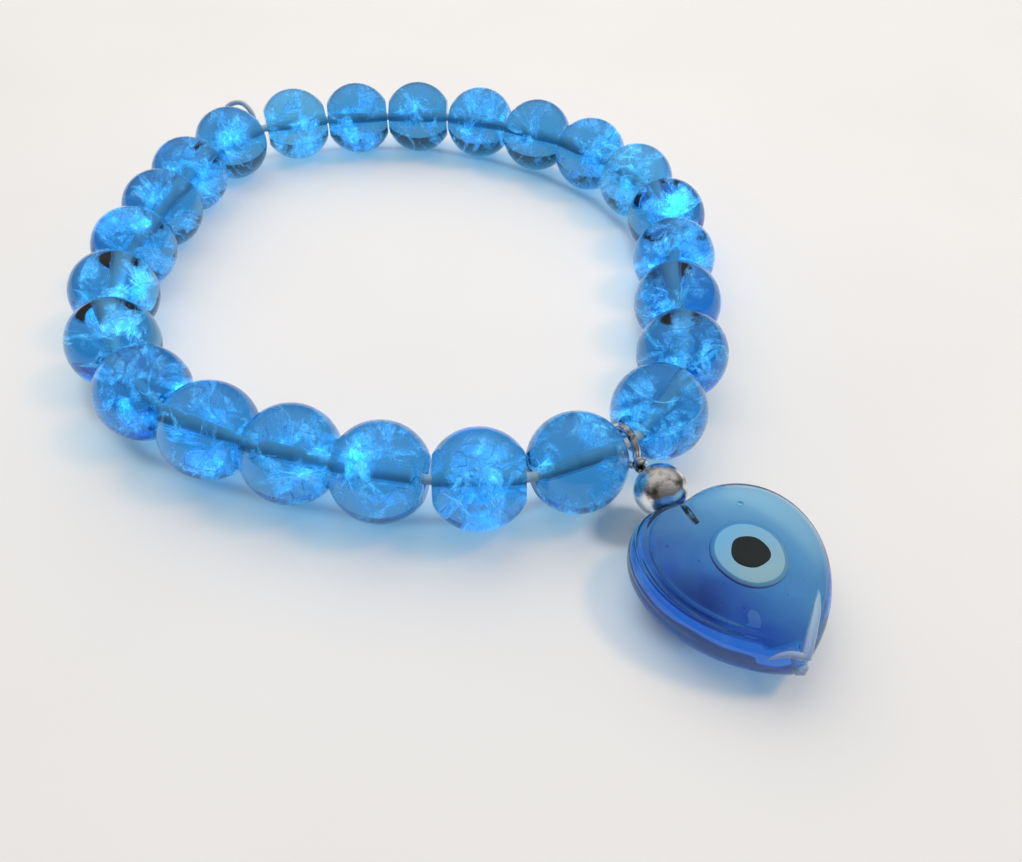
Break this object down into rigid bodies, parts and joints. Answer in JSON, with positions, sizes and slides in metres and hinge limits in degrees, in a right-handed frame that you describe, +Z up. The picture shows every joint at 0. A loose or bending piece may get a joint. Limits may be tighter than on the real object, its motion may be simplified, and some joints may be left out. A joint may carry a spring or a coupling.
{
  "type": "evil eye heart charm bracelet",
  "caption": "Elastic bracelet of round blue crackle-glass beads with a silver ball and a glass heart charm carrying an evil eye.",
  "frame": {"origin": "on the surface that the bracelet lies on, under the middle of its bounding box", "axes": "+Z up, out of the plane of the loop; +Y across the loop, away from the charm; the charm lies towards -Y and +X"},
  "size_m": [0.0636, 0.0776, 0.008],
  "materials": {
    "crackle_glass": "gloss, crackled inside",
    "clear_elastic": "clear, slightly milky",
    "wire": "darkened silver plate",
    "silver": "polished silver plate",
    "heart_glass": "gloss",
    "clear_glass": "gloss",
    "white_glass": "gloss",
    "dark_glass": "gloss"
  },
  "bodies": {
    "cord_at_charm": {"cord_charm": "clear_elastic"},
    "link_01": {"cord_01": "clear_elastic"},
    "link_02": {"cord_02": "clear_elastic"},
    "link_03": {"cord_03": "clear_elastic"},
    "link_04": {"cord_04": "clear_elastic"},
    "link_05": {"cord_05": "clear_elastic"},
    "link_06": {"cord_06": "clear_elastic"},
    "link_07": {"cord_07": "clear_elastic"},
    "link_08": {"cord_08": "clear_elastic"},
    "link_09": {"cord_09": "clear_elastic"},
    "link_10": {"cord_10": "clear_elastic"},
    "link_11": {"cord_11": "clear_elastic"},
    "link_12": {"cord_12": "clear_elastic"},
    "link_13": {"cord_13": "clear_elastic", "cord_knot": "clear_elastic"},
    "link_14": {"cord_14": "clear_elastic"},
    "link_24": {"cord_24": "clear_elastic"},
    "link_23": {"cord_23": "clear_elastic"},
    "link_22": {"cord_22": "clear_elastic"},
    "link_21": {"cord_21": "clear_elastic"},
    "link_20": {"cord_20": "clear_elastic"},
    "link_19": {"cord_19": "clear_elastic"},
    "link_18": {"cord_18": "clear_elastic"},
    "link_17": {"cord_17": "clear_elastic"},
    "link_16": {"cord_16": "clear_elastic"},
    "link_15": {"cord_15": "clear_elastic"},
    "turning_bead_01": {"bead_01": "crackle_glass"},
    "turning_bead_02": {"bead_02": "crackle_glass"},
    "turning_bead_03": {"bead_03": "crackle_glass"},
    "turning_bead_04": {"bead_04": "crackle_glass"},
    "turning_bead_05": {"bead_05": "crackle_glass"},
    "turning_bead_06": {"bead_06": "crackle_glass"},
    "turning_bead_07": {"bead_07": "crackle_glass"},
    "turning_bead_08": {"bead_08": "crackle_glass"},
    "turning_bead_09": {"bead_09": "crackle_glass"},
    "turning_bead_10": {"bead_10": "crackle_glass"},
    "turning_bead_11": {"bead_11": "crackle_glass"},
    "turning_bead_12": {"bead_12": "crackle_glass"},
    "turning_bead_13": {"bead_13": "crackle_glass"},
    "turning_bead_14": {"bead_14": "crackle_glass"},
    "turning_bead_15": {"bead_15": "crackle_glass"},
    "turning_bead_16": {"bead_16": "crackle_glass"},
    "turning_bead_17": {"bead_17": "crackle_glass"},
    "turning_bead_18": {"bead_18": "crackle_glass"},
    "turning_bead_19": {"bead_19": "crackle_glass"},
    "turning_bead_20": {"bead_20": "crackle_glass"},
    "turning_bead_21": {"bead_21": "crackle_glass"},
    "turning_bead_22": {"bead_22": "crackle_glass"},
    "turning_bead_23": {"bead_23": "crackle_glass"},
    "turning_bead_24": {"bead_24": "crackle_glass"},
    "charm": {"wire_loop": "wire", "heart": "heart_glass", "heart_tip": "clear_glass", "eye_white": "white_glass", "eye_pupil": "dark_glass"},
    "spacer_ball": {"silver_ball": "silver"}
  },
  "joints": [
    {"name": "stretch_01", "type": "slide", "parent": "cord_at_charm", "child": "link_01", "axis": [0.6246, 0.781, 0], "range_m": [0, 0.00119], "stiffness_N_per_m": 1500},
    {"name": "stretch_02", "type": "slide", "parent": "link_01", "child": "link_02", "axis": [0.3656, 0.9308, 0], "range_m": [0, 0.00201]},
    {"name": "stretch_03", "type": "slide", "parent": "link_02", "child": "link_03", "axis": [0.0679, 0.9977, 0], "range_m": [0, 0.0019]},
    {"name": "stretch_04", "type": "slide", "parent": "link_03", "child": "link_04", "axis": [0.0766, 0.9971, 0], "range_m": [0, 0.0019]},
    {"name": "stretch_05", "type": "slide", "parent": "link_04", "child": "link_05", "axis": [0.0155, 0.9999, 0], "range_m": [0, 0.00195]},
    {"name": "stretch_06", "type": "slide", "parent": "link_05", "child": "link_06", "axis": [-0.3198, 0.9475, 0], "range_m": [0, 0.002]},
    {"name": "stretch_07", "type": "slide", "parent": "link_06", "child": "link_07", "axis": [-0.625, 0.7806, 0], "range_m": [0, 0.00196]},
    {"name": "stretch_08", "type": "slide", "parent": "link_07", "child": "link_08", "axis": [-0.8109, 0.5851, 0], "range_m": [0, 0.00194]},
    {"name": "stretch_09", "type": "slide", "parent": "link_08", "child": "link_09", "axis": [-0.9183, 0.3958, 0], "range_m": [0, 0.00193]},
    {"name": "stretch_10", "type": "slide", "parent": "link_09", "child": "link_10", "axis": [-0.9881, 0.1537, 0], "range_m": [0, 0.00197]},
    {"name": "stretch_11", "type": "slide", "parent": "link_10", "child": "link_11", "axis": [-0.9967, -0.0809, 0], "range_m": [0, 0.00191]},
    {"name": "stretch_12", "type": "slide", "parent": "link_11", "child": "link_12", "axis": [-0.9698, -0.2439, 0], "range_m": [0, 0.00192]},
    {"name": "stretch_13", "type": "slide", "parent": "link_12", "child": "link_13", "axis": [-0.7982, -0.6024, 0], "range_m": [0, 0.00214]},
    {"name": "stretch_14", "type": "slide", "parent": "link_13", "child": "link_14", "axis": [-0.3673, -0.9301, 0], "range_m": [0, 0.00203]},
    {"name": "stretch_24", "type": "slide", "parent": "cord_at_charm", "child": "link_24", "axis": [-0.8781, -0.4785, 0], "range_m": [0, 0.00119]},
    {"name": "stretch_23", "type": "slide", "parent": "link_24", "child": "link_23", "axis": [-0.9708, -0.24, 0], "range_m": [0, 0.00199]},
    {"name": "stretch_22", "type": "slide", "parent": "link_23", "child": "link_22", "axis": [-0.9974, 0.0725, 0], "range_m": [0, 0.00194]},
    {"name": "stretch_21", "type": "slide", "parent": "link_22", "child": "link_21", "axis": [-0.9716, 0.2364, 0], "range_m": [0, 0.00187]},
    {"name": "stretch_20", "type": "slide", "parent": "link_21", "child": "link_20", "axis": [-0.9416, 0.3368, 0], "range_m": [0, 0.00189]},
    {"name": "stretch_19", "type": "slide", "parent": "link_20", "child": "link_19", "axis": [-0.8369, 0.5473, 0], "range_m": [0, 0.00198]},
    {"name": "stretch_18", "type": "slide", "parent": "link_19", "child": "link_18", "axis": [-0.5853, 0.8108, 0], "range_m": [0, 0.002]},
    {"name": "stretch_17", "type": "slide", "parent": "link_18", "child": "link_17", "axis": [-0.2981, 0.9545, 0], "range_m": [0, 0.00196]},
    {"name": "stretch_16", "type": "slide", "parent": "link_17", "child": "link_16", "axis": [-0.0589, 0.9983, 0], "range_m": [0, 0.00194]},
    {"name": "stretch_15", "type": "slide", "parent": "link_16", "child": "link_15", "axis": [0.0977, 0.9952, 0], "range_m": [0, 0.00188]},
    {"name": "bead_spin_01", "type": "hinge", "parent": "link_01", "child": "turning_bead_01", "pos_m": [0.02139, -0.01608, 0.004], "axis": [0.5736, 0.8192, 0], "continuous": true},
    {"name": "bead_spin_02", "type": "hinge", "parent": "link_02", "child": "turning_bead_02", "pos_m": [0.02422, -0.00886, 0.004], "axis": [0.1392, 0.9903, 0], "continuous": true},
    {"name": "bead_spin_03", "type": "hinge", "parent": "link_03", "child": "turning_bead_03", "pos_m": [0.02471, -0.00159, 0.004], "axis": [0, 1, 0], "continuous": true},
    {"name": "bead_spin_04", "type": "hinge", "parent": "link_04", "child": "turning_bead_04", "pos_m": [0.02527, 0.00571, 0.004], "axis": [0.1564, 0.9877, 0], "continuous": true},
    {"name": "bead_spin_05", "type": "hinge", "parent": "link_05", "child": "turning_bead_05", "pos_m": [0.02539, 0.01322, 0.004], "axis": [-0.1219, 0.9925, 0], "continuous": true},
    {"name": "bead_spin_06", "type": "hinge", "parent": "link_06", "child": "turning_bead_06", "pos_m": [0.02294, 0.0205, 0.004], "axis": [-0.5, 0.866, 0], "continuous": true},
    {"name": "bead_spin_07", "type": "hinge", "parent": "link_07", "child": "turning_bead_07", "pos_m": [0.01822, 0.02639, 0.004], "axis": [-0.7314, 0.682, 0], "continuous": true},
    {"name": "bead_spin_08", "type": "hinge", "parent": "link_08", "child": "turning_bead_08", "pos_m": [0.01215, 0.03077, 0.004], "axis": [-0.8746, 0.4848, 0], "continuous": true},
    {"name": "bead_spin_09", "type": "hinge", "parent": "link_09", "child": "turning_bead_09", "pos_m": [0.00535, 0.0337, 0.004], "axis": [-0.9511, 0.309, 0], "continuous": true},
    {"name": "bead_spin_10", "type": "hinge", "parent": "link_10", "child": "turning_bead_10", "pos_m": [-0.00215, 0.03487, 0.004], "axis": [-1, 0, 0], "continuous": true},
    {"name": "bead_spin_11", "type": "hinge", "parent": "link_11", "child": "turning_bead_11", "pos_m": [-0.00949, 0.03427, 0.004], "axis": [-0.9877, -0.1564, 0], "continuous": true},
    {"name": "bead_spin_12", "type": "hinge", "parent": "link_12", "child": "turning_bead_12", "pos_m": [-0.01665, 0.03247, 0.004], "axis": [-0.9455, -0.3256, 0], "continuous": true},
    {"name": "bead_spin_13", "type": "hinge", "parent": "link_13", "child": "turning_bead_13", "pos_m": [-0.02323, 0.02751, 0.004], "axis": [-0.5736, -0.8192, 0], "continuous": true},
    {"name": "bead_spin_14", "type": "hinge", "parent": "link_14", "child": "turning_bead_14", "pos_m": [-0.02609, 0.02026, 0.004], "axis": [-0.1392, -0.9903, 0], "continuous": true},
    {"name": "bead_spin_15", "type": "hinge", "parent": "link_15", "child": "turning_bead_15", "pos_m": [-0.02709, 0.01325, 0.004], "axis": [-0.1392, -0.9903, 0], "continuous": true},
    {"name": "bead_spin_16", "type": "hinge", "parent": "link_16", "child": "turning_bead_16", "pos_m": [-0.0278, 0.00604, 0.004], "axis": [-0.0523, -0.9986, 0], "continuous": true},
    {"name": "bead_spin_17", "type": "hinge", "parent": "link_17", "child": "turning_bead_17", "pos_m": [-0.02736, -0.00142, 0.004], "axis": [0.1736, -0.9848, 0], "continuous": true},
    {"name": "bead_spin_18", "type": "hinge", "parent": "link_18", "child": "turning_bead_18", "pos_m": [-0.02512, -0.0086, 0.004], "axis": [0.4226, -0.9063, 0], "continuous": true},
    {"name": "bead_spin_19", "type": "hinge", "parent": "link_19", "child": "turning_bead_19", "pos_m": [-0.02062, -0.01482, 0.004], "axis": [0.7314, -0.682, 0], "continuous": true},
    {"name": "bead_spin_20", "type": "hinge", "parent": "link_20", "child": "turning_bead_20", "pos_m": [-0.01424, -0.019, 0.004], "axis": [0.9205, -0.3907, 0], "continuous": true},
    {"name": "bead_spin_21", "type": "hinge", "parent": "link_21", "child": "turning_bead_21", "pos_m": [-0.00739, -0.02145, 0.004], "axis": [0.9613, -0.2756, 0], "continuous": true},
    {"name": "bead_spin_22", "type": "hinge", "parent": "link_22", "child": "turning_bead_22", "pos_m": [-0.00038, -0.02315, 0.004], "axis": [0.9816, -0.1908, 0], "continuous": true},
    {"name": "bead_spin_23", "type": "hinge", "parent": "link_23", "child": "turning_bead_23", "pos_m": [0.00706, -0.02369, 0.004], "axis": [0.9986, 0.0523, 0], "continuous": true},
    {"name": "bead_spin_24", "type": "hinge", "parent": "link_24", "child": "turning_bead_24", "pos_m": [0.01449, -0.02186, 0.004], "axis": [0.9063, 0.4226, 0], "continuous": true},
    {"name": "charm_swing", "type": "hinge", "parent": "cord_at_charm", "child": "charm", "pos_m": [0.01829, -0.01985, 0.004], "axis": [-0.8782, -0.4782, 0], "range_deg": [0, 120]},
    {"name": "ball_spin", "type": "hinge", "parent": "charm", "child": "spacer_ball", "pos_m": [0.02066, -0.02421, 0.00363], "axis": [0.4769, -0.8758, -0.074], "continuous": true}
  ],
  "couplings": [
    {"joint": "stretch_02", "follows": "stretch_01", "ratio": 1.6877},
    {"joint": "stretch_03", "follows": "stretch_01", "ratio": 1.5888},
    {"joint": "stretch_04", "follows": "stretch_01", "ratio": 1.5951},
    {"joint": "stretch_05", "follows": "stretch_01", "ratio": 1.6364},
    {"joint": "stretch_06", "follows": "stretch_01", "ratio": 1.6727},
    {"joint": "stretch_07", "follows": "stretch_01", "ratio": 1.6448},
    {"joint": "stretch_08", "follows": "stretch_01", "ratio": 1.6297},
    {"joint": "stretch_09", "follows": "stretch_01", "ratio": 1.6133},
    {"joint": "stretch_10", "follows": "stretch_01", "ratio": 1.6539},
    {"joint": "stretch_11", "follows": "stretch_01", "ratio": 1.6032},
    {"joint": "stretch_12", "follows": "stretch_01", "ratio": 1.61},
    {"joint": "stretch_13", "follows": "stretch_01", "ratio": 1.7947},
    {"joint": "stretch_14", "follows": "stretch_01", "ratio": 1.698},
    {"joint": "stretch_24", "follows": "stretch_01", "ratio": 0.99997},
    {"joint": "stretch_23", "follows": "stretch_01", "ratio": 1.6668},
    {"joint": "stretch_22", "follows": "stretch_01", "ratio": 1.6265},
    {"joint": "stretch_21", "follows": "stretch_01", "ratio": 1.5711},
    {"joint": "stretch_20", "follows": "stretch_01", "ratio": 1.585},
    {"joint": "stretch_19", "follows": "stretch_01", "ratio": 1.6609},
    {"joint": "stretch_18", "follows": "stretch_01", "ratio": 1.6724},
    {"joint": "stretch_17", "follows": "stretch_01", "ratio": 1.6381},
    {"joint": "stretch_16", "follows": "stretch_01", "ratio": 1.6277},
    {"joint": "stretch_15", "follows": "stretch_01", "ratio": 1.5779}
  ]
}
